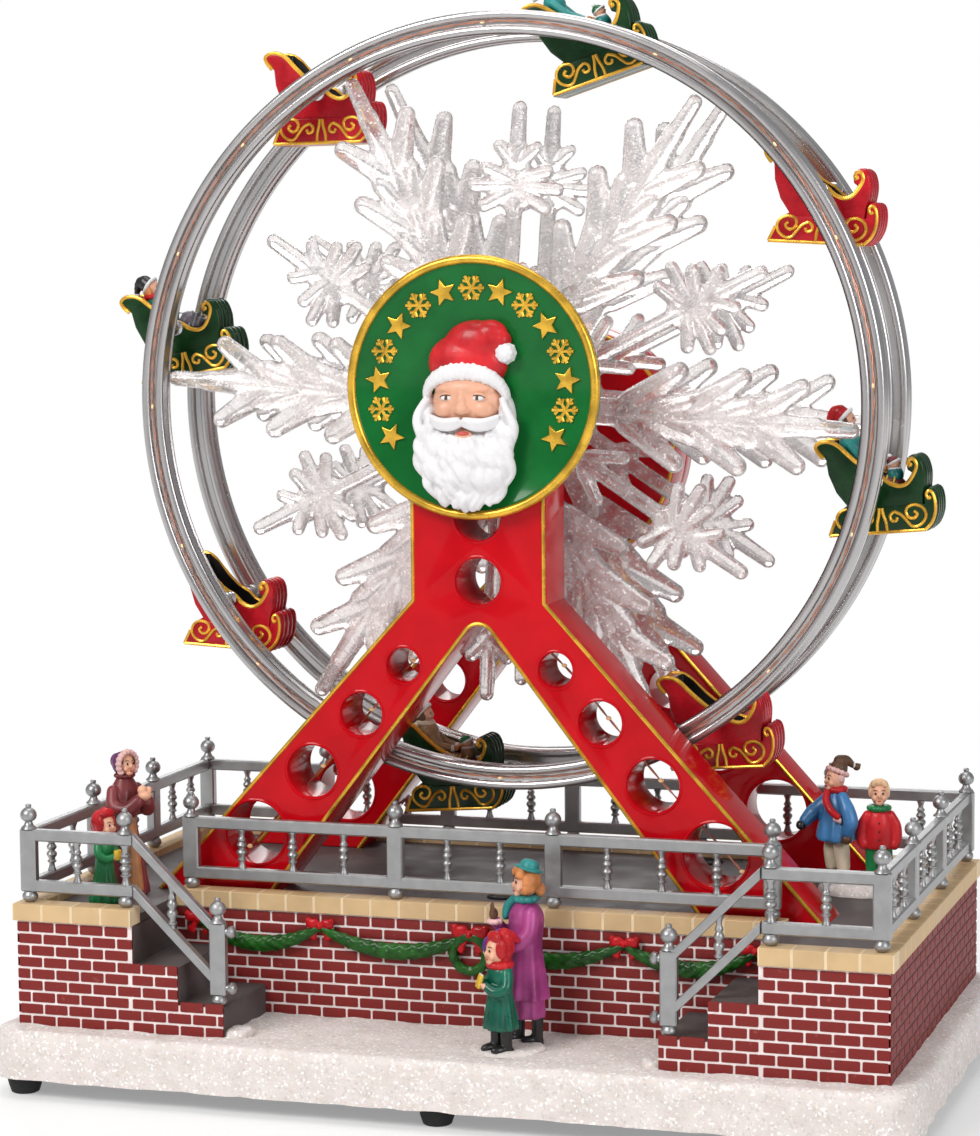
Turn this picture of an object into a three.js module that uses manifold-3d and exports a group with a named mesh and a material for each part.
// A table-top Christmas wheel: a snowy base with a brick terrace, two red leg frames and, between
// them, a turning wheel of two rims and two clear snowflakes that carries eight small sleighs.
// Millimetres, Z up, X to the right, Y to the back. The origin is on the table, under the middle.
import * as THREE from 'three';
import { mergeVertices } from 'three/addons/utils/BufferGeometryUtils.js';
import Module from 'manifold-3d';

const wasm = await Module();
wasm.setup();

// Clearances
const gap = 0.3;
const overrun = 2;
const smallest = 0.001;

// Snowy base, its plate and its feet
const baseWidth = 346;
const baseDepth = 198;
const baseHeight = 18;
const baseCorner = 14;
const baseBevel = 4;
const baseWall = 3.5;
const plateThickness = 2;
const footLift = 7;
const footTopRadius = 6.8;
const footTipRadius = 5.3;
const footInset = 11.5;

// Brick terrace, coping, deck and stairs
const brickWidth = 325.6;
const brickHeight = 39.4;
const brickWall = 3;
const ledgeWidth = 14;
const copingOverhang = 1.4;
const copingInside = 7.6;
const copingHeight = 6.4;
const deckThickness = 2;
const deckDrop = 2.8;
const recessWidth = 234;
const recessDepth = 41.6;
const frameSetback = 10.7;
const rearSetback = 8.2;
const treadWidth = 17.75;
const lowTreadHeight = 11.4;
const highTreadHeight = 25.2;
const stairSkin = 2;
const stairLip = 1.2;

// Railings
const railInset = 5;
const railThickness = 3.6;
const railHeight = 4.4;
const railSpace = 14.6;
const postWidth = 6.2;
const postFootHeight = 3.7;
const postFootRadius = 3;
const finialHeight = 9.4;
const finialRadius = 3.1;
const balusterRadius = 2;
const recessPostX = 111.8;
const recessMiddlePostX = 30.4;
const recessRailSetback = 4.3;
const stairTopX = 120.5;
const stairFootX = 84.4;
const stairRailDrop = 30.5;
const turnedSides = 4;

// Wheel
const axleHeight = 252;
const rimRadius = 145;
const rimWidth = 9;
const rimDepth = 9;
const rimSpacing = 53;
const rimGrooveWidth = 3;
const rimGrooveDepth = 2.6;
const rimFacets = 48;
const wireRadius = 0.7;
const wireSides = 3;
const axleRadius = 4;
const axleSides = 14;
const hubRadius = 26;
const hubSpoolRadius = 17;
const snowflakeThickness = 6;
const snowflakeInset = 1.6;
const snowflakeArms = 6;
const hubFacets = 20;
const snowflakeTurn = -3.9;
const smallArmReach = 112.5;
const armHalfWidth = 20;

// Sleighs
const sledCount = 8;
const sledTurn = -11.5;
const sledLength = 43.4;
const sledHeight = 36;
const sledWidth = 16;
const sledWall = 1.8;
const sledPinRadius = 1.4;
const pinBossRadius = 3.4;
const pinBossLength = 4.6;
const pinSides = 6;
const riderHeadRadius = 3.5;
const riderRiseShares = [0.22, 0.22, 0.066, 0.066];
const sledTilts = [5, -3, 18, 1, 11, -3, 4.6, 4.6];

// Leg frames
const frameThickness = 24;
const rearFrameThickness = 18;
const frontRoom = 3.4;
const rearRoom = 17.5;
const frameWall = 2.8;
const columnHalfWidth = 26;
const columnBottom = 71.3;
const legOuterX = 129.6;
const legInnerX = 83;
const apexDrop = 79.8;
const apexRadius = 6;
const frameArcSteps = 6;
const holeFacets = 12;
const liningFacets = 8;
const firstHoleX = 29.3;
const firstHoleDrop = 95.1;
const firstHoleRadius = 6.3;
const lastHoleX = 89;
const lastHoleDrop = 160.5;
const lastHoleRadius = 11.8;
const holePlaceShares = [0, 0.286, 0.62, 1];
const columnHoleRadius = 8.5;
const upperColumnHoleDrop = 40;
const lowerColumnHoleDrop = 63.4;
const legWireRadius = 0.7;
const legWireSlot = 1.6;
const slotReach = 1.05;

// Motor head on the rear frame
const headRadius = 49;
const headDrop = 20;
const headWall = 3;
const headFacets = 32;
const coverDepth = 17;
const gearModule = 1.4;
const driveTeeth = 30;
const pinionTeeth = 10;
const gearThickness = 6;
const pinionThickness = 5;
const toothTipShare = 0.8;
const toothRootShare = 1.15;
const toothTipWidthShare = 0.1;
const toothRootWidthShare = 0.27;
const meshPlay = 0.5;
const motorRadius = 12;
const motorCollar = 2;
const motorShaftRadius = 2;

// Bushes
const bushRadius = 7.5;
const bushFlangeRadius = 10;
const bushFlange = 1.6;

// Round medallion and the head relief on it
const medallionRadius = 48.1;
const medallionThickness = 6;
const medallionRise = 7.6;
const medallionRim = 3.6;
const medallionRecess = 1.2;
const medallionFacets = 40;
const reliefHeight = 71;
const reliefDepthScale = 1;

// Garland on the recess wall
const garlandRadius = 2.4;
const garlandSag = 7.5;
const garlandDrop = 4.6;
const garlandSides = 5;
const garlandFillShare = 0.95;
const swagSteps = 5;
const hookShares = [-0.915, -0.5, 0, 0.5, 0.915];
const bowWidth = 13;
const bowDepthShare = 0.9;
const bowHeightShare = 0.2;
const wreathRadius = 6.5;
const wreathTube = 2.2;

// Painted figures
const frontWomanHeight = 67;
const frontWomanX = 26;
const frontWomanOff = 17.4;
const frontChildHeight = 43;
const frontChildX = 19;
const frontChildOff = 33.4;
const leftWomanHeight = 55;
const leftWomanIn = 26.8;
const leftWomanOff = 38.2;
const leftChildHeight = 36;
const leftChildIn = 24.8;
const leftChildOff = 21.7;
const tallBoyHeight = 46;
const tallBoyIn = 42.3;
const smallBoyHeight = 40;
const smallBoyIn = 26.8;
const rightPairOff = 60.2;

// Battery case, door, board and switch
const batteryLength = 70;
const batteryWidth = 52;
const batteryHeight = 24;
const batteryWall = 1.5;
const boardLength = 42;
const boardHeight = 22;
const boardThickness = 1.6;
const switchX = 110;
const switchLength = 9;
const switchHeight = 5;
const switchTravel = 4;
const switchRise = 12;
const switchProud = 3;

// Levels and places worked out from the sizes above. From front to back, the terrace is as deep as its
// recess, the two leg frames, the wheel between them, and the room round each.
const frameFront = frameThickness + frontRoom + rimSpacing / 2;
const rearFrameStart = rimSpacing / 2 + rearRoom;
const frameStack = frameFront + rearFrameStart + rearFrameThickness;
const brickDepth = recessDepth + frameSetback + frameStack + rearSetback;
const snowTop = footLift + baseHeight;
const brickTop = snowTop + brickHeight;
const copingTop = brickTop + copingHeight;
const deckTop = copingTop - deckDrop;
const brickX = brickWidth / 2;
const brickY = brickDepth / 2;
const recessX = recessWidth / 2;
const recessY = -brickY + recessDepth;
const wheelPlane = recessY + frameSetback + frameFront;
const backWallY = brickY - brickWall;
const stairInnerX = recessX - 2 * treadWidth;
const postTop = postFootHeight + 2 * railHeight + railSpace;
const rimInside = rimRadius - rimWidth;
const rimMiddle = rimRadius - rimWidth / 2;
const rimOuterY = rimSpacing / 2;
const rimInnerY = rimOuterY - rimDepth;
const frameBottom = deckTop + gap - axleHeight;

const paint = (color, roughness, metalness = 0) =>
  new THREE.MeshStandardMaterial({ color, roughness, metalness });
const snowPaint = paint('#f3f1ef', 0.85);
const brickPaint = paint('#8c2f26', 0.7);
const copingPaint = paint('#d9b883', 0.7);
const stonePaint = paint('#5b5654', 0.75);
const silverPaint = paint('#9a9a9a', 0.4, 0.5);
const redGloss = paint('#c3101c', 0.2);
const greenGloss = paint('#0c5a2c', 0.2);
const rimMetal = paint('#b9b9bb', 0.25, 0.8);
const clearPlastic = paint('#e9e6ea', 0.15);
const steel = paint('#c8c8cc', 0.3, 0.9);
const copper = paint('#c98a5a', 0.35, 0.8);
const sledGreen = paint('#123a17', 0.35);
const sledRed = paint('#c01420', 0.35);
const blackRubber = paint('#151515', 0.8);
const blackPlastic = paint('#202020', 0.5);
const nylon = paint('#e8e4d8', 0.5);
const boardGreen = paint('#1c5a33', 0.6);
const garlandGreen = paint('#1c5a22', 0.7);
const reliefPaint = paint('#f2ede6', 0.5);
const coatPurple = paint('#8e3f80', 0.5);
const coatGreen = paint('#1f6b3f', 0.5);
const coatMaroon = paint('#6e2430', 0.5);
const coatRed = paint('#b8232a', 0.5);
const coatBlue = paint('#4f86b8', 0.5);

const object = new THREE.Group();
const wheelFrame = new THREE.Group();
wheelFrame.position.set(0, wheelPlane, axleHeight);
object.add(wheelFrame);

// A closed mesh as a solid: shared points are merged, empty faces dropped, and the faces point out.
function toSolid(geometry) {
  const bare = geometry.clone();
  bare.deleteAttribute('normal');
  bare.deleteAttribute('uv');
  const merged = mergeVertices(bare, smallest);
  const points = merged.attributes.position.array;
  const faces = [];
  let volume = 0;
  const corner = (index) => new THREE.Vector3().fromArray(points, 3 * index);
  for (let i = 0; i < merged.index.count; i += 3) {
    const [a, b, c] = [merged.index.array[i], merged.index.array[i + 1], merged.index.array[i + 2]];
    if (a === b || b === c || c === a) continue;
    faces.push([a, b, c]);
    volume += corner(a).dot(corner(b).cross(corner(c)));
  }
  const triVerts = new Uint32Array(faces.flatMap(([a, b, c]) => (volume < 0 ? [a, c, b] : [a, b, c])));
  return new wasm.Manifold(new wasm.Mesh({ numProp: 3, vertProperties: new Float32Array(points), triVerts }));
}

function toGeometry(solid) {
  const mesh = solid.getMesh();
  const geometry = new THREE.BufferGeometry();
  geometry.setAttribute('position', new THREE.BufferAttribute(new Float32Array(mesh.vertProperties), 3));
  geometry.setIndex(new THREE.BufferAttribute(new Uint32Array(mesh.triVerts), 1));
  return geometry;
}

function addPiece(name, solid, material, parent = object) {
  const mesh = new THREE.Mesh(toGeometry(solid), material);
  mesh.name = name;
  parent.add(mesh);
  return mesh;
}

const join = (...solids) => solids.reduce((whole, next) => whole.add(next));

// Building forms
function block(x0, x1, y0, y1, z0, z1) {
  const geometry = new THREE.BoxGeometry(x1 - x0, y1 - y0, z1 - z0);
  geometry.translate((x0 + x1) / 2, (y0 + y1) / 2, (z0 + z1) / 2);
  return toSolid(geometry);
}

function outline(points) {
  return new THREE.Shape(points.map(([x, y]) => new THREE.Vector2(x, y)));
}

// A plan outline raised from z0 to z1
function raised(shape, z0, z1, curveSegments = 6) {
  const geometry = new THREE.ExtrudeGeometry(shape, { depth: z1 - z0, bevelEnabled: false, curveSegments });
  geometry.translate(0, 0, z0);
  return toSolid(geometry);
}

// A front outline, in X and Z, made thick from y0 to y1
function upright(shape, y0, y1, curveSegments = 6) {
  const geometry = new THREE.ExtrudeGeometry(shape, { depth: y1 - y0, bevelEnabled: false, curveSegments });
  geometry.rotateX(Math.PI / 2);
  geometry.translate(0, y1, 0);
  return toSolid(geometry);
}

// A profile of [radius, height] turned about Z at x, y
function turned(profile, sides, x = 0, y = 0, z = 0) {
  const geometry = new THREE.LatheGeometry(profile.map(([r, h]) => new THREE.Vector2(r, h)), sides);
  geometry.rotateX(Math.PI / 2);
  geometry.translate(x, y, z);
  return toSolid(geometry);
}

// A profile of [radius, y] turned about an axis along Y through x, z
function turnedAlongY(profile, sides, x = 0, z = 0) {
  const geometry = new THREE.LatheGeometry(profile.map(([r, h]) => new THREE.Vector2(r, h)), sides);
  geometry.translate(x, 0, z);
  return toSolid(geometry);
}

const diskAlongY = (radius, y0, y1, sides, x = 0, z = 0) =>
  turnedAlongY([[0, y0], [radius, y0], [radius, y1], [0, y1]], sides, x, z);

function ellipsoid(rx, ry, rz, x, y, z, around = 8, down = 6) {
  const geometry = new THREE.SphereGeometry(1, around, down);
  geometry.rotateX(Math.PI / 2);
  geometry.scale(rx, ry, rz);
  geometry.translate(x, y, z);
  return toSolid(geometry);
}

// A straight round bar between two points
function bar(from, to, radius, sides, endRadius = radius) {
  const start = new THREE.Vector3(...from);
  const end = new THREE.Vector3(...to);
  const along = end.clone().sub(start);
  const geometry = new THREE.CylinderGeometry(endRadius, radius, along.length(), sides);
  geometry.translate(0, along.length() / 2, 0);
  const up = new THREE.Vector3(0, 1, 0);
  geometry.applyQuaternion(new THREE.Quaternion().setFromUnitVectors(up, along.normalize()));
  geometry.translate(start.x, start.y, start.z);
  return toSolid(geometry);
}

const polar = (radius, angle) => [radius * Math.cos(angle), radius * Math.sin(angle)];
const radians = (degrees) => THREE.MathUtils.degToRad(degrees);

// Base: a snow-covered tray, open below, closed by a plate that holds the battery case and the feet
function roundedPlan(width, depth, corner) {
  const shape = new THREE.Shape();
  const [x, y] = [width / 2, depth / 2];
  shape.moveTo(x - corner, -y);
  shape.absarc(x - corner, -y + corner, corner, -Math.PI / 2, 0, false);
  shape.absarc(x - corner, y - corner, corner, 0, Math.PI / 2, false);
  shape.absarc(-x + corner, y - corner, corner, Math.PI / 2, Math.PI, false);
  shape.absarc(-x + corner, -y + corner, corner, Math.PI, 1.5 * Math.PI, false);
  return shape;
}

const caseX = batteryLength / 2 + batteryWall;
const caseY = batteryWidth / 2 + batteryWall;
const plateTop = footLift + plateThickness;

function snowBase() {
  const lower = raised(roundedPlan(baseWidth, baseDepth, baseCorner), footLift, snowTop - baseBevel, 4);
  const inset = 2 * baseBevel;
  const upperPlan = roundedPlan(baseWidth - inset, baseDepth - inset, baseCorner - baseBevel);
  const upper = raised(upperPlan, footLift, snowTop, 4);
  const both = wasm.Manifold.hull([lower, upper]);
  const wall = 2 * baseWall;
  const pocketPlan = roundedPlan(baseWidth - wall, baseDepth - wall, baseCorner - baseWall);
  const pocket = raised(pocketPlan, footLift - overrun, snowTop - baseWall - baseBevel, 4);
  const opening = block(-caseX - gap, caseX + gap, -caseY - gap, caseY + gap, footLift, snowTop + overrun);
  return both.subtract(pocket).subtract(opening);
}

function basePlate() {
  const wall = 2 * (baseWall + gap);
  const plan = roundedPlan(baseWidth - wall, baseDepth - wall, baseCorner - baseWall - gap);
  const [x, y] = [batteryLength / 2, batteryWidth / 2];
  const opening = block(-x, x, -y, y, 0, plateTop + overrun);
  return raised(plan, footLift, plateTop, 4).subtract(opening);
}

function batteryCase() {
  const floor = plateTop + gap;
  const top = floor + batteryHeight;
  const outer = block(-caseX, caseX, -caseY, caseY, floor, top);
  const [x, y] = [batteryLength / 2, batteryWidth / 2];
  const inner = block(-x, x, -y, y, floor - overrun, top - batteryWall);
  return outer.subtract(inner);
}

function batteryDoor() {
  const [x, y] = [batteryLength / 2 - gap, batteryWidth / 2 - gap];
  return block(-x, x, -y, y, footLift, plateTop);
}

function foot(x, y) {
  return turned([[0, 0], [footTipRadius, 0], [footTopRadius, footLift - gap], [0, footLift - gap]], 10, x, y);
}

addPiece('snow_base', snowBase(), snowPaint);
addPiece('base_plate', basePlate(), blackPlastic);
addPiece('battery_case', batteryCase(), blackPlastic);
addPiece('battery_door', batteryDoor(), blackPlastic);
const footX = baseWidth / 2 - footInset;
const footY = baseDepth / 2 - footInset;
[-1, 1].forEach((back) => [-1, 0, 1].forEach((side) => {
  const name = `foot_${back < 0 ? 'front' : 'rear'}_${['left', 'middle', 'right'][side + 1]}`;
  addPiece(name, foot(side * footX, back * footY), blackRubber);
}));

// Terrace: a U of brick round a recess, with two corner stairs going down into the recess
const wingX = recessX + stairSkin + gap;

function terracePlan(inset) {
  const [x, front, back] = [brickX - inset, -brickY + inset, brickY - inset];
  const [innerX, innerY] = [wingX + inset, recessY + inset];
  return outline([
    [-x, front], [-innerX, front], [-innerX, innerY], [innerX, innerY],
    [innerX, front], [x, front], [x, back], [-x, back]]);
}

const skin = stairSkin + gap;

function stepBlocks(side, inset) {
  const ends = (low, high) => (side < 0 ? [-high, -low] : [low, high]);
  const reach = wingX + (inset > 0 ? 2 * inset : 0);
  const floor = inset > 0 ? snowTop - overrun : snowTop + gap;
  const [y0, y1] = [-brickY + inset, recessY + (inset > 0 ? -inset : inset)];
  const top = (height) => snowTop + height - skin - inset;
  const [a0, a1] = ends(recessX - treadWidth + skin + inset, reach);
  const [b0, b1] = ends(stairInnerX + skin + inset, reach);
  return join(
    block(a0, a1, y0, y1, floor, top(highTreadHeight)),
    block(b0, b1, y0, y1, floor, top(lowTreadHeight)));
}

function brickBlock() {
  let outer = raised(terracePlan(0), snowTop + gap, brickTop);
  let hollow = raised(terracePlan(brickWall), snowTop - overrun, brickTop - brickWall);
  [-1, 1].forEach((side) => {
    outer = outer.add(stepBlocks(side, 0)).add(stepLip(side));
    hollow = hollow.add(stepBlocks(side, brickWall));
  });
  const hatch = raised(terracePlan(ledgeWidth), brickTop - brickWall - overrun, brickTop + overrun);
  const [x0, x1] = [switchX - switchLength / 2 - gap, switchX + switchLength / 2 + switchTravel + gap];
  const middle = snowTop + switchRise;
  const slot = block(
    x0, x1, brickY - brickWall - overrun, brickY + overrun,
    middle - switchHeight / 2 - gap, middle + switchHeight / 2 + gap);
  return outer.subtract(hollow).subtract(hatch).subtract(slot);
}

// The stairs are a thin stepped skin on the brick steps, behind a brick lip of the same outline
const levels = [snowTop + lowTreadHeight, snowTop + highTreadHeight];
const noses = [stairInnerX, recessX - treadWidth, recessX];
const stepFace = [
  [noses[0], snowTop + gap], [noses[0], levels[0]], [noses[1], levels[0]],
  [noses[1], levels[1]], [noses[2], levels[1]], [noses[2], brickTop]];

function stepLip(side) {
  const profile = [...stepFace, [wingX + stairSkin, brickTop], [wingX + stairSkin, snowTop + gap]];
  return upright(outline(profile.map(([x, z]) => [side * x, z])), -brickY, -brickY + stairLip);
}

function stairs(side) {
  const back = [
    [noses[2] + stairSkin, brickTop], [noses[2] + stairSkin, levels[1] - stairSkin],
    [noses[1] + stairSkin, levels[1] - stairSkin], [noses[1] + stairSkin, levels[0] - stairSkin],
    [noses[0] + stairSkin, levels[0] - stairSkin], [noses[0] + stairSkin, snowTop + gap]];
  const profile = [...stepFace, ...back].map(([x, z]) => [side * x, z]);
  return upright(outline(profile), -brickY + stairLip + gap, recessY - gap);
}

// The coping runs round the wings and the back; the strip over the recess is a piece of its own
function coping() {
  const x = brickX + copingOverhang;
  const y = brickY + copingOverhang;
  const inner = brickX - copingInside;
  const plan = outline([
    [-x, -y], [-recessX, -y], [-recessX, -brickY + copingInside], [-inner, -brickY + copingInside],
    [-inner, brickY - copingInside], [inner, brickY - copingInside], [inner, -brickY + copingInside],
    [recessX, -brickY + copingInside], [recessX, -y], [x, -y], [x, y], [-x, y]]);
  return raised(plan, brickTop + gap, copingTop);
}

const stripFront = recessY - copingOverhang;
const stripBack = recessY + copingInside;
const stripX = recessX - gap;

function recessCoping() {
  return block(-stripX, stripX, stripFront, stripBack, brickTop + gap, copingTop);
}

function deckPanel() {
  const x = brickX - copingInside - gap;
  const [front, back] = [-brickY + copingInside + gap, brickY - copingInside - gap];
  const plan = outline([
    [-x, front], [-recessX, front], [-recessX, stripBack + gap], [recessX, stripBack + gap],
    [recessX, front], [x, front], [x, back], [-x, back]]);
  const skirt = raised(plan, brickTop + gap, deckTop);
  const [innerX, innerBack] = [x - ledgeWidth, back - ledgeWidth];
  const hollowFront = stripBack + gap + ledgeWidth;
  const hollow = block(-innerX, innerX, hollowFront, innerBack, brickTop - overrun, deckTop - deckThickness);
  return skirt.subtract(hollow);
}

addPiece('brick_block', brickBlock(), brickPaint);
addPiece('coping', coping(), copingPaint);
addPiece('recess_coping', recessCoping(), copingPaint);
addPiece('deck_panel', deckPanel(), stonePaint);
addPiece('left_stairs', stairs(-1), stonePaint);
addPiece('right_stairs', stairs(1), stonePaint);

// Railings, each a flat panel along X that stands on z = 0 and is then turned and set in place
const balusterShares = [[0.6, 0], [1, 0.3], [0.55, 0.5], [1, 0.68], [0.6, 1]];
const finialShares = [[0.5, 0], [0.5, 0.2], [1, 0.5], [0.25, 1]];
const postFootShares = [[0.6, 0], [1, 0.5], [0.6, 1]];

function spindle(shares, radius, height, x, z) {
  const profile = shares.map(([r, h]) => [r * radius, h * height]);
  return turned([[0, 0], ...profile, [0, height]], turnedSides, x, 0, z);
}

const finial = (x, z) => spindle(finialShares, finialRadius, finialHeight, x, z);
const postFoot = (x, z) => spindle(postFootShares, postFootRadius, postFootHeight, x, z);
const half = railThickness / 2;
const lowRail = postFootHeight;
const topRail = postFootHeight + railHeight + railSpace;

function flatPost(x, x0 = x - postWidth / 2, x1 = x + postWidth / 2) {
  return join(block(x0, x1, -half, half, lowRail, postTop), finial(x, postTop), postFoot(x, 0));
}

function turnedPost(x) {
  const shaft = spindle(balusterShares, balusterRadius, railSpace, x, lowRail + railHeight);
  return join(shaft, finial(x, postTop), postFoot(x, 0));
}

function railing(start, end, posts, balusters) {
  const rails = [lowRail, topRail].map((z) => block(start, end, -half, half, z, z + railHeight));
  const spindles = balusters.map((x) =>
    spindle(balusterShares, balusterRadius, railSpace, x, lowRail + railHeight));
  return join(...rails, ...posts, ...spindles);
}

// Even places between two ends, the ends left out
const between = (start, end, count) =>
  Array.from({ length: count }, (_, i) => start + (end - start) * (i + 1) / (count + 1));

function placeRailing(name, solid, x, y, z, quarterTurns = 0) {
  const mesh = addPiece(name, solid, silverPaint);
  mesh.position.set(x, y, z);
  mesh.rotation.z = quarterTurns * Math.PI / 2;
}

const railZ = copingTop + gap;
const cornerX = brickX + copingOverhang - railInset;
const cornerY = brickY + copingOverhang - railInset;
const recessRailY = stripFront + recessRailSetback;

function recessRailing() {
  const ends = [-recessPostX, recessPostX];
  const middles = [-recessMiddlePostX, recessMiddlePostX];
  const spindles = [
    ...between(ends[0], middles[0], 3), ...between(middles[0], middles[1], 2),
    ...between(middles[1], ends[1], 3)];
  return railing(ends[0], ends[1], [...ends, ...middles].map((x) => flatPost(x)), spindles);
}

// The front rails run from the corner post to a turned post at the top of the stairs
function frontRailing(side) {
  const [corner, top] = [side * cornerX, side * stairTopX];
  const ends = [corner, side * (stairTopX - finialRadius)];
  const posts = [flatPost(corner), turnedPost(top)];
  return railing(Math.min(...ends), Math.max(...ends), posts, [(corner + top) / 2]);
}

function sideRailing() {
  const [start, end] = [-cornerY + half + 2 * gap, cornerY - half - 2 * gap];
  const posts = between(-cornerY, cornerY, 2);
  const ends = [-cornerY, ...posts, cornerY];
  const spindles = ends.slice(1).flatMap((x, i) => between(ends[i], x, 2));
  return railing(start, end, posts.map((x) => flatPost(x)), spindles);
}

function backRailing() {
  const posts = [-cornerX, ...between(-cornerX, cornerX, 5), cornerX];
  const spindles = posts.slice(1).flatMap((x, i) => between(posts[i], x, 2));
  return railing(-cornerX, cornerX, posts.map((x) => flatPost(x)), spindles);
}

placeRailing('recess_railing', recessRailing(), 0, recessRailY, railZ);
placeRailing('left_front_railing', frontRailing(-1), 0, -cornerY, railZ);
placeRailing('right_front_railing', frontRailing(1), 0, -cornerY, railZ);
placeRailing('left_side_railing', sideRailing(), -cornerX, 0, railZ, 1);
placeRailing('right_side_railing', sideRailing(), cornerX, 0, railZ, 1);
placeRailing('back_railing', backRailing(), 0, cornerY, railZ);

// A stair rail slopes from the turned post down to a flat post on the low tread
function stairRailing(side) {
  const top = stairTopX - finialRadius - gap;
  const foot = stairFootX;
  const footZ = snowTop + lowTreadHeight + gap;
  const drop = railZ + postTop - footZ - stairRailDrop;
  const slopes = [lowRail, topRail].map((z) => {
    const high = railZ + z;
    const low = high - drop;
    const inner = foot + postWidth / 2 - overrun;
    const points = [[top, high], [top, high + railHeight], [inner, low + railHeight], [inner, low]];
    return upright(outline(points.map(([x, h]) => [side * x, h])), -half, half);
  });
  const postLow = footZ + postFootHeight;
  const postHigh = railZ + topRail + railHeight - drop;
  const postX = side * foot;
  const shaft = block(postX - postWidth / 2, postX + postWidth / 2, -half, half, postLow, postHigh);
  const post = join(shaft, finial(postX, postHigh), postFoot(postX, footZ));
  const middle = side * (top + foot + postWidth / 2) / 2;
  const middleZ = railZ + lowRail - drop / 2;
  const spindleSolid = spindle(
    balusterShares, balusterRadius, topRail - lowRail, middle, middleZ + railHeight / 2);
  return join(...slopes, post, spindleSolid);
}

placeRailing('left_stair_railing', stairRailing(-1), 0, -cornerY, 0);
placeRailing('right_stair_railing', stairRailing(1), 0, -cornerY, 0);

// Leg frames: an outline in X and Z about the axle, hollow, open at the feet, pierced by round holes
function legOutline(drop) {
  const bottom = frameBottom - drop;
  const legRun = (x0, z0, x1) => x1 + (x1 - x0) * drop / (z0 - frameBottom);
  const outer = legRun(columnHalfWidth, -columnBottom, legOuterX);
  const inner = legRun(0, -apexDrop, legInnerX);
  const shape = new THREE.Shape();
  const share = apexRadius / apexDrop;
  const near = [inner * share, -apexDrop + (bottom + apexDrop) * share];
  shape.moveTo(columnHalfWidth, 0);
  shape.absarc(0, 0, columnHalfWidth, 0, Math.PI, false);
  shape.lineTo(-columnHalfWidth, -columnBottom);
  shape.lineTo(-outer, bottom);
  shape.lineTo(-inner, bottom);
  shape.lineTo(-near[0], near[1]);
  shape.quadraticCurveTo(0, -apexDrop + apexRadius / 2, near[0], near[1]);
  shape.lineTo(inner, bottom);
  shape.lineTo(outer, bottom);
  shape.lineTo(columnHalfWidth, -columnBottom);
  return shape;
}

// Moves each edge of an outline inwards by the same distance
function insetShape(shape, distance) {
  const points = shape.getPoints(frameArcSteps)
    .filter((p, i, all) => p.distanceTo(all[(i + 1) % all.length]) > smallest);
  if (THREE.ShapeUtils.area(points) < 0) points.reverse();
  const edge = (i) => {
    const [a, b] = [points[i % points.length], points[(i + 1) % points.length]];
    const along = b.clone().sub(a).normalize();
    return { at: new THREE.Vector2(a.x - along.y * distance, a.y + along.x * distance), along };
  };
  return new THREE.Shape(points.map((_, i) => {
    const [before, after] = [edge(i + points.length - 1), edge(i)];
    const turn = before.along.cross(after.along);
    if (Math.abs(turn) < smallest) return after.at;
    const reach = after.at.clone().sub(before.at).cross(after.along) / turn;
    return before.at.clone().addScaledVector(before.along, reach);
  }));
}

const legHoles = [-1, 1].flatMap((side) => holePlaceShares.map((share, i) => ({
  x: side * (firstHoleX + (lastHoleX - firstHoleX) * share),
  z: -firstHoleDrop - (lastHoleDrop - firstHoleDrop) * share,
  r: firstHoleRadius + (lastHoleRadius - firstHoleRadius) * i / (holePlaceShares.length - 1),
})));
const columnHoles = [upperColumnHoleDrop, lowerColumnHoleDrop]
  .map((drop) => ({ x: 0, z: -drop, r: columnHoleRadius }));

function legFrame(y0, y1, holes) {
  const outer = upright(legOutline(0), y0, y1, frameArcSteps);
  const inside = insetShape(legOutline(frameWall + overrun), frameWall);
  let hollow = upright(inside, y0 + frameWall, y1 - frameWall);
  hollow = hollow.subtract(diskAlongY(bushRadius + gap + frameWall, y0, y1, axleSides));
  holes.forEach(({ x, z, r }) => {
    hollow = hollow.subtract(diskAlongY(r + frameWall, y0, y1, liningFacets, x, z));
  });
  let frame = outer.subtract(hollow);
  holes.forEach(({ x, z, r }) => {
    frame = frame.subtract(diskAlongY(r, y0 - overrun, y1 + overrun, holeFacets, x, z));
  });
  return frame;
}

// The lit wire climbs one leg of the front frame, crosses under the column and goes down the other
const wireY = -frameFront + frameThickness / 2;
const wireTop = [0, -lowerColumnHoleDrop - columnHoleRadius - frameWall];
const wireEnd = [(legOuterX + legInnerX) / 2, frameBottom + frameWall];

function legWire(radius, sides, reach) {
  const [x, z] = [wireEnd[0] * reach, wireTop[1] + (wireEnd[1] - wireTop[1]) * reach];
  return join(
    bar([-x, wireY, z], [wireTop[0], wireY, wireTop[1]], radius, sides),
    bar([wireTop[0], wireY, wireTop[1]], [x, wireY, z], radius, sides),
    ellipsoid(radius, radius, radius, wireTop[0], wireY, wireTop[1], 6, 4));
}

function frontFrame() {
  const [y0, y1] = [-frameFront, -frameFront + frameThickness];
  const bore = diskAlongY(bushRadius + gap, y0 + frameWall, y1 + overrun, axleSides);
  const slot = legWire(legWireSlot, 4, slotReach);
  return legFrame(y0, y1, [...legHoles, ...columnHoles]).subtract(bore).subtract(slot);
}

const rearY0 = rearFrameStart;
const rearY1 = rearFrameStart + rearFrameThickness;
const chamberRadius = headRadius - headWall;
const bossEnd = rearY0 + headWall + bushRadius - gap;

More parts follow.
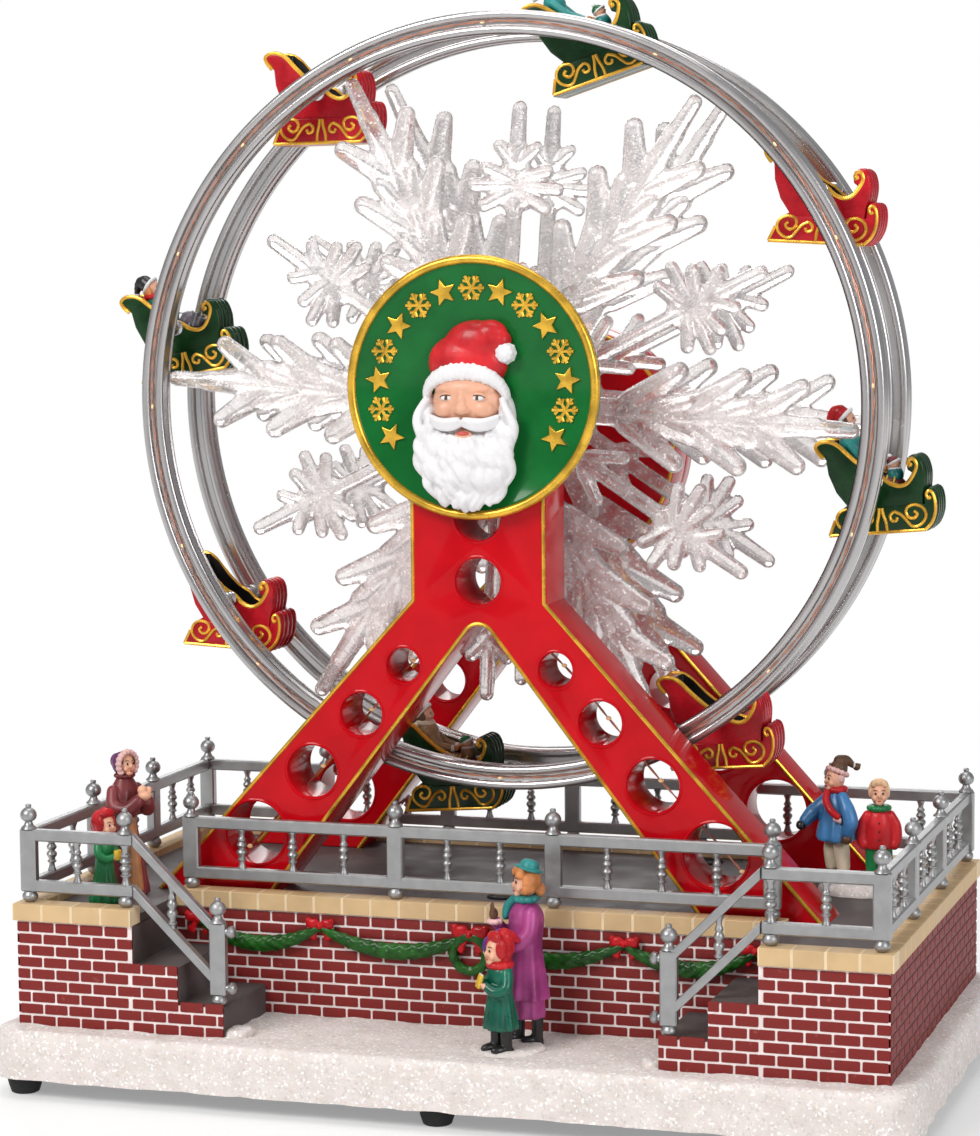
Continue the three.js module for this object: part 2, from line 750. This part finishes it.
function rearFrame() {
  const head = diskAlongY(headRadius, rearY0, rearY1, headFacets, 0, -headDrop);
  const chamber = diskAlongY(chamberRadius, rearY0 + headWall, rearY1 + overrun, headFacets, 0, -headDrop);
  const boss = diskAlongY(bushRadius + gap + frameWall, rearY0, bossEnd, axleSides);
  const bore = diskAlongY(bushRadius + gap, rearY0 - overrun, bossEnd + overrun, axleSides);
  return legFrame(rearY0, rearY1, legHoles).add(head).subtract(chamber).add(boss).subtract(bore);
}

function bush(flangeY, flangeEnd, tubeEnd) {
  const inner = axleRadius + gap;
  return turnedAlongY([
    [inner, flangeY], [bushFlangeRadius, flangeY], [bushFlangeRadius, flangeEnd],
    [bushRadius, flangeEnd], [bushRadius, tubeEnd], [inner, tubeEnd], [inner, flangeY]], axleSides);
}

const frontBushFace = -frameFront + frameThickness + gap;
const frontBushEnd = frontBushFace - gap - frameThickness + 2 * frameWall;
const rearBushFace = rearFrameStart - gap;

addPiece('front_frame', frontFrame(), redGloss, wheelFrame);
addPiece('rear_frame', rearFrame(), redGloss, wheelFrame);
addPiece('front_leg_wire', legWire(legWireRadius, wireSides, 1), copper, wheelFrame);
addPiece('front_bush', bush(frontBushFace + bushFlange, frontBushFace, frontBushEnd), nylon, wheelFrame);
addPiece('rear_bush', bush(rearBushFace - bushFlange, rearBushFace, bossEnd), nylon, wheelFrame);

// Drive: a large gear on the axle, turned by a pinion on the motor's shaft, under a round cover
const driveRadius = gearModule * driveTeeth / 2;
const pinionRadius = gearModule * pinionTeeth / 2;
const shaftDrop = driveRadius + pinionRadius + meshPlay;
const gearY = bossEnd + gap;
const pinionY = gearY + (gearThickness - pinionThickness) / 2;
const motorY = gearY + gearThickness + bushFlange;
const coverY = rearY1 + gap;
const coverEnd = coverY + coverDepth;
const motorEnd = coverEnd - headWall - gap;
const axleEnd = motorY - gap;

function gear(teeth, radius, boreRadius, y0, y1, turnTeeth = 0) {
  const step = 2 * Math.PI / teeth;
  const tip = radius + toothTipShare * gearModule;
  const root = radius - toothRootShare * gearModule;
  const points = Array.from({ length: teeth }, (_, i) => (i + turnTeeth) * step).flatMap((angle) => [
    polar(root, angle - toothRootWidthShare * step), polar(tip, angle - toothTipWidthShare * step),
    polar(tip, angle + toothTipWidthShare * step), polar(root, angle + toothRootWidthShare * step)]);
  const body = upright(outline(points), y0, y1);
  if (boreRadius === 0) return body;
  return body.subtract(diskAlongY(boreRadius, y0 - overrun, y1 + overrun, axleSides));
}

function motorPinion() {
  const teeth = gear(pinionTeeth, pinionRadius, 0, pinionY, pinionY + pinionThickness, 0.5);
  return teeth.add(diskAlongY(motorShaftRadius, pinionY, motorY - gap, axleSides));
}

function motorCover() {
  const shell = diskAlongY(headRadius, coverY, coverEnd, headFacets, 0, -headDrop);
  const face = coverEnd - headWall;
  const room = diskAlongY(chamberRadius, coverY - overrun, face, headFacets, 0, -headDrop);
  const seatRadius = motorRadius + gap;
  const collar = diskAlongY(seatRadius + motorCollar, face - coverDepth / 2, face, axleSides, 0, -shaftDrop);
  const seat = diskAlongY(seatRadius, coverY - overrun, face, axleSides, 0, -shaftDrop);
  return shell.subtract(room).add(collar).subtract(seat);
}

const driveGear = gear(driveTeeth, driveRadius, axleRadius + gap, gearY, gearY + gearThickness);
addPiece('drive_gear', driveGear, nylon, wheelFrame);
addPiece('motor_pinion', motorPinion(), steel, wheelFrame).position.z = -shaftDrop;
const gearMotor = diskAlongY(motorRadius, motorY, motorEnd, axleSides);
addPiece('gear_motor', gearMotor, steel, wheelFrame).position.z = -shaftDrop;
addPiece('motor_cover', motorCover(), redGloss, wheelFrame);

// Wheel: axle, spool, two snowflakes and two grooved rims with the bosses that hold the sleigh pins
function rim(side) {
  const [outer, inner] = [side * rimOuterY, side * rimInnerY];
  const [g0, g1] = [rimMiddle - rimGrooveWidth / 2, rimMiddle + rimGrooveWidth / 2];
  const face = outer - side * rimGrooveDepth;
  const ring = turnedAlongY([
    [rimInside, inner], [rimRadius, inner], [rimRadius, outer], [g1, outer], [g1, face], [g0, face],
    [g0, outer], [rimInside, outer], [rimInside, inner]], rimFacets);
  const bossEdge = side * (rimInnerY - pinBossLength);
  const ends = [bossEdge, inner + side * gap].sort((a, b) => a - b);
  const places = Array.from({ length: sledCount }, (_, i) => sledPivot(i));
  const bosses = places.map(([x, z]) => diskAlongY(pinBossRadius, ends[0], ends[1], pinSides, x, z));
  const boreEnds = [bossEdge - side * overrun, inner + side * gap].sort((a, b) => a - b);
  const boreRadius = sledPinRadius + 2 * gap;
  const bores = places.map(([x, z]) => diskAlongY(boreRadius, boreEnds[0], boreEnds[1], pinSides, x, z));
  return bores.reduce((solid, bore) => solid.subtract(bore), join(ring, ...bosses));
}

function sledPivot(i) {
  return polar(rimMiddle, radians(sledTurn + 360 * i / sledCount));
}

function rimWire(side) {
  const y = side * (rimOuterY - rimGrooveDepth + gap + wireRadius);
  const section = Array.from({ length: wireSides + 1 }, (_, i) => {
    const [r, h] = polar(wireRadius, 2 * Math.PI * (i % wireSides) / wireSides);
    return [rimMiddle + r, y + h];
  });
  return turnedAlongY(section, rimFacets);
}

// Half of each arm's outline, from hub to tip, as shares of its reach along and its half width across
const bigArmShares = [
  [0.19, 0.28], [0.375, 0.3], [0.515, 0.98], [0.535, 0.95], [0.55, 0.45],
  [0.685, 0.95], [0.705, 0.92], [0.71, 0.4], [0.84, 0.88], [0.86, 0.82], [0.868, 0.23], [1, 0.16]];
const smallArmShares = [
  [0.22, 0.15], [0.34, 0.16], [0.43, 0.6], [0.468, 0.5], [0.41, 0.16], [0.62, 0.16],
  [0.632, 0.7], [0.672, 0.68], [0.693, 0.45], [0.697, 0.92], [0.732, 0.92], [0.74, 0.44],
  [0.765, 0.72], [0.797, 0.62], [0.778, 0.22], [0.838, 0.49], [0.872, 0.36], [0.836, 0.15],
  [0.95, 0.145], [1, 0.075]];

function armPoints(shares, reach, angle) {
  const half = shares.map(([along, across]) => [along * reach, -across * armHalfWidth]);
  const whole = [...half, ...half.map(([x, y]) => [x, -y]).reverse()];
  const [c, s] = [Math.cos(angle), Math.sin(angle)];
  return whole.map(([x, y]) => [x * c - y * s, x * s + y * c]);
}

const bigArmReach = rimInside * Math.cos(Math.PI / rimFacets) - gap;

function snowflake(y0, y1) {
  const angles = Array.from({ length: snowflakeArms }, (_, i) =>
    radians(snowflakeTurn + 360 * i / snowflakeArms));
  const points = angles.flatMap((angle) => [
    ...armPoints(bigArmShares, bigArmReach, angle),
    ...armPoints(smallArmShares, smallArmReach, angle + Math.PI / snowflakeArms)]);
  const flat = upright(outline(points), y0, y1);
  const hub = diskAlongY(hubRadius, y0, y1, hubFacets);
  return flat.add(hub).subtract(diskAlongY(axleRadius + gap, y0 - overrun, y1 + overrun, axleSides));
}

const flakeOuter = rimOuterY - snowflakeInset;
const flakeInner = flakeOuter - snowflakeThickness;

function hubSpool() {
  const [inner, end] = [axleRadius + gap, flakeInner - gap];
  return turnedAlongY([
    [inner, -end], [hubSpoolRadius, -end], [hubSpoolRadius, end], [inner, end], [inner, -end]], axleSides);
}

addPiece('axle', diskAlongY(axleRadius, frontBushEnd + gap, axleEnd, axleSides), steel, wheelFrame);
addPiece('hub_spool', hubSpool(), clearPlastic, wheelFrame);
addPiece('front_snowflake', snowflake(-flakeOuter, -flakeInner), clearPlastic, wheelFrame);
addPiece('rear_snowflake', snowflake(flakeInner, flakeOuter), clearPlastic, wheelFrame);
addPiece('front_rim', rim(-1), rimMetal, wheelFrame);
addPiece('rear_rim', rim(1), rimMetal, wheelFrame);
addPiece('front_rim_wire', rimWire(-1), copper, wheelFrame);
addPiece('rear_rim_wire', rimWire(1), copper, wheelFrame);

// Sleighs: a side outline about the pin, hollowed for the seat; every second one carries riders.
// The points are shares of the length along and of the height up.
const sledShares = [
  [-0.495, 0.39], [-0.43, 0.44], [-0.335, 0.43], [-0.155, 0.2], [0.05, 0.04], [0.2, -0.11],
  [0.335, -0.04], [0.275, 0.06], [0.295, 0.13], [0.38, 0.165], [0.41, 0.06], [0.39, -0.15],
  [0.455, -0.18], [0.5, -0.25],
  [0.495, -0.35], [0.385, -0.55], [-0.43, -0.53], [-0.42, -0.42], [-0.255, -0.23], [-0.345, -0.095],
  [-0.41, 0.25], [-0.43, 0.305]];
const seatShares = [
  [-0.37, 0.5], [-0.34, 0.08], [-0.22, -0.18], [0.22, -0.21], [0.335, -0.05], [0.27, 0.06], [0.27, 0.5]];
const sledPoints = (shares) => shares.map(([x, z]) => [x * sledLength, z * sledHeight]);

// A rider's places are shares of the sleigh's length and height, its roundness shares of the head's radius
const riderLeanShare = 0.24;
const riderSeatShare = 0.16;
const riderBendShare = 0.7;
const riderHeadShare = 0.42;
const riderSeatWidthShare = 0.36;
const riderNeckWidthShare = 0.2;
// Of the sled's length and height, where the lumps of the ride sit
const blanketPlaceShares = [0.05, -0.06];
const childPlaceShares = [0.12, 0.13];
// Of the sled's length, width and height
const blanketRadiusShares = [0.22, 0.37, 0.17];
// Of the head's radius: how far back and up the cap sits, its radius and its rise, and the child
const capPlaceShares = [-0.2, 0.7];
const capRadiusShares = [1.05, 0.8];
const childRadiusShare = 0.8;
const riderSides = 6;

const inSled = ([along, up]) => [along * sledLength, up * sledHeight];

function rider(rise) {
  const lean = -riderLeanShare * sledLength;
  const seat = [riderBendShare * lean, 0, -riderSeatShare * sledHeight];
  const headZ = (riderHeadShare + rise) * sledHeight;
  const r = riderHeadRadius;
  const oval = (rx, ry, rz, x, z) => ellipsoid(rx, ry, rz, x, 0, z, riderSides, 4);
  const [seatWidth, neckWidth] = [riderSeatWidthShare * sledWidth, riderNeckWidthShare * sledWidth];
  const [capBack, capUp] = capPlaceShares.map((share) => share * r);
  const [cap, capRise] = capRadiusShares.map((share) => share * r);
  const child = childRadiusShare * r;
  const [childX, childZ] = inSled(childPlaceShares);
  const [blanketX, blanketZ] = inSled(blanketPlaceShares);
  const [along, across, up] = blanketRadiusShares;
  return join(
    bar(seat, [lean, 0, headZ - r / 2], seatWidth, riderSides, neckWidth),
    oval(r, r, r, lean, headZ),
    oval(cap, cap, capRise, lean + capBack, headZ + capUp),
    oval(along * sledLength, across * sledWidth, up * sledHeight, blanketX, blanketZ),
    oval(child, child, child, childX, childZ));
}

function sled(i) {
  const half = sledWidth / 2;
  const body = upright(outline(sledPoints(sledShares)), -half, half);
  const seat = upright(outline(sledPoints(seatShares)), -half + sledWall, half - sledWall);
  const shell = body.subtract(seat);
  const pinEnd = rimInnerY - gap;
  const pins = [-1, 1].map((side) =>
    bar([0, side * (half - sledWall / 2), 0], [0, side * pinEnd, 0], sledPinRadius, pinSides));
  const riders = i % 2 === 0 ? [rider(riderRiseShares[i / 2])] : [];
  return join(shell, ...pins, ...riders);
}

for (let i = 0; i < sledCount; i += 1) {
  const mesh = addPiece(`sled_${i + 1}`, sled(i), i % 2 === 0 ? sledGreen : sledRed, wheelFrame);
  const [x, z] = sledPivot(i);
  mesh.position.set(x, 0, z);
  mesh.rotation.y = -radians(sledTilts[i]);
}

// Medallion: a round plate with a raised rim, and on it the relief of a bearded head in a fur-edged cap
const medallionBack = -frameFront - gap;
const medallionFront = medallionBack - medallionThickness;
const medallionFace = medallionFront + medallionRecess;

function medallion() {
  const inner = medallionRadius - medallionRim;
  return turnedAlongY([
    [0, medallionBack], [medallionRadius, medallionBack], [medallionRadius, medallionFront],
    [inner, medallionFront], [inner, medallionFace], [0, medallionFace]], medallionFacets, 0, medallionRise);
}

// Each lump is [x, z, radius across, radius up, radius outwards] as shares of the relief's height
const reliefShares = [
  [-0.03, -0.06, 0.17, 0.16, 0.13], [-0.03, -0.26, 0.28, 0.25, 0.13], [-0.02, -0.45, 0.2, 0.165, 0.11],
  [-0.05, 0.09, 0.22, 0.06, 0.16], [-0.03, 0.2, 0.19, 0.16, 0.13], [0.07, 0.22, 0.13, 0.12, 0.11],
  [0.165, 0.18, 0.058, 0.058, 0.1]];

function reliefHead() {
  const back = medallionFace - gap;
  const lumps = reliefShares.map(([x, z, across, up, out]) => ellipsoid(
    across * reliefHeight, out * reliefDepthScale * reliefHeight, up * reliefHeight,
    x * reliefHeight, back, medallionRise + z * reliefHeight, 10, 6));
  const keep = block(
    -medallionRadius, medallionRadius, back - reliefHeight, back, -medallionRadius, 2 * medallionRadius);
  return join(...lumps).intersect(keep);
}

addPiece('medallion', medallion(), greenGloss, wheelFrame);
addPiece('relief_head', reliefHead(), reliefPaint, wheelFrame);

// Garland: four swags between five hooks on the recess wall, three bows and a small wreath
function garland() {
  const y = recessY - gap - garlandRadius;
  const hookZ = brickTop - garlandDrop;
  const hooks = hookShares.map((share) => share * recessX);
  const points = [];
  for (let i = 0; i < hooks.length - 1; i += 1) {
    const [from, to] = [hooks[i], hooks[i + 1]];
    for (let k = 0; k < swagSteps; k += 1) {
      const t = k / swagSteps;
      points.push(new THREE.Vector3(from + (to - from) * t, y, hookZ - 4 * garlandSag * t * (1 - t)));
    }
  }
  points.push(new THREE.Vector3(hooks[hooks.length - 1], y, hookZ));
  const section = outline(Array.from({ length: garlandSides }, (_, i) =>
    polar(garlandRadius * garlandFillShare, 2 * Math.PI * i / garlandSides)));
  const geometry = new THREE.ExtrudeGeometry(section, {
    steps: points.length - 1, extrudePath: new THREE.CatmullRomCurve3(points), bevelEnabled: false });
  const loop = bowWidth / 4;
  const [deep, tall] = [bowDepthShare * garlandRadius, bowHeightShare * bowWidth];
  const bows = hooks.slice(1, -1).flatMap((x) =>
    [-1, 1].map((side) => ellipsoid(loop, deep, tall, x + side * loop, y, hookZ, 6, 4)));
  const ring = new THREE.TorusGeometry(wreathRadius, wreathTube, 5, 10);
  ring.rotateX(Math.PI / 2);
  ring.translate(0, y, hookZ - wreathRadius / 2);
  return join(toSolid(geometry), ...bows, toSolid(ring));
}

addPiece('garland', garland(), garlandGreen);

// Painted figures: a skirt or a coat with legs, two arms, a head and a hat, as shares of the height
const skirtShares = [[0.13, 0], [0.16, 0.04], [0.12, 0.4], [0.085, 0.56], [0.115, 0.7], [0.04, 0.79]];
const coatShares = [[0.09, 0.3], [0.13, 0.33], [0.1, 0.56], [0.12, 0.7], [0.04, 0.79]];
// Radius, rise, middle and how far back it sits
const headShares = [0.075, 0.085, 0.86, 0];
const hatShares = [0.085, 0.075, 0.925, 0.01];
// The two ends of an arm and of a leg
const armShares = [[0.1, 0, 0.7], [0.05, -0.12, 0.52]];
const legShares = [[0.05, 0, 0.02], [0.05, 0, 0.4]];
const armRadiusShare = 0.04;
const legRadiusShare = 0.045;
// Half the width, the toe, the heel and the top
const shoeShares = [0.04, -0.09, 0.045, 0.05];
const figureSides = 7;
const limbSides = 5;
const lumpRings = 5;

function limb(ends, radiusShare, side, height) {
  const [from, to] = ends.map(([x, y, z]) => [side * x * height, y * height, z * height]);
  return bar(from, to, radiusShare * height, limbSides);
}

function shoe(side, height) {
  const [across, toe, heel, top] = shoeShares.map((share) => share * height);
  const [[ankle]] = legShares;
  const middle = side * ankle * height;
  return block(middle - across, middle + across, toe, heel, 0, top);
}

function figure({ height, x, y, floor, face = 0, skirt = true }) {
  const coat = (skirt ? skirtShares : coatShares).map(([r, z]) => [r * height, z * height]);
  const [hem, collar] = [coat[0][1], coat[coat.length - 1][1]];
  const body = turned([[0, hem], ...coat, [0, collar]], figureSides);
  const lump = (shares) => {
    const [radius, rise, middle, back] = shares.map((share) => share * height);
    return ellipsoid(radius, radius, rise, 0, back, middle, figureSides, lumpRings);
  };
  const leg = (side) => join(limb(legShares, legRadiusShare, side, height), shoe(side, height));
  const arms = [-1, 1].map((side) => limb(armShares, armRadiusShare, side, height));
  const legs = skirt ? [] : [-1, 1].map(leg);
  const whole = join(body, lump(headShares), lump(hatShares), ...arms, ...legs);
  return whole.rotate([0, 0, face]).translate([x, y, floor]);
}

// On the snow, figures stand off the recess wall; on the deck, off the terrace's front, back and sides
const deckFloor = deckTop + gap;
const snowFloor = snowTop + gap;
addPiece('front_woman', figure({
  height: frontWomanHeight, x: frontWomanX, y: recessY - frontWomanOff, floor: snowFloor, face: -60,
}), coatPurple);
addPiece('front_child', figure({
  height: frontChildHeight, x: frontChildX, y: recessY - frontChildOff, floor: snowFloor, face: -25,
  skirt: false,
}), coatGreen);
addPiece('left_woman', figure({
  height: leftWomanHeight, x: -brickX + leftWomanIn, y: -brickY + leftWomanOff, floor: deckFloor, face: 70,
}), coatMaroon);
addPiece('left_child', figure({
  height: leftChildHeight, x: -brickX + leftChildIn, y: -brickY + leftChildOff, floor: deckFloor, face: 80,
}), coatRed);
addPiece('right_tall_boy', figure({
  height: tallBoyHeight, x: brickX - tallBoyIn, y: brickY - rightPairOff, floor: deckFloor, face: -60,
  skirt: false,
}), coatBlue);
addPiece('right_small_boy', figure({
  height: smallBoyHeight, x: brickX - smallBoyIn, y: brickY - rightPairOff, floor: deckFloor, face: 10,
  skirt: false,
}), coatRed);

// Electrics inside the terrace: a board behind the back wall and the slide switch in its slot
function circuitBoard() {
  const y1 = backWallY - gap;
  const z0 = snowTop + gap + brickWall;
  const x0 = switchX - switchLength - boardLength;
  return block(x0, x0 + boardLength, y1 - boardThickness, y1, z0, z0 + boardHeight);
}

function switchSlider() {
  const middle = snowTop + switchRise;
  const [x0, x1] = [switchX - switchLength / 2, switchX + switchLength / 2];
  const inner = backWallY - switchProud + gap;
  const outer = brickY + switchProud / 2;
  return block(x0, x1, inner, outer, middle - switchHeight / 2, middle + switchHeight / 2);
}

addPiece('circuit_board', circuitBoard(), boardGreen);
addPiece('switch_slider', switchSlider(), blackPlastic);

export default object;
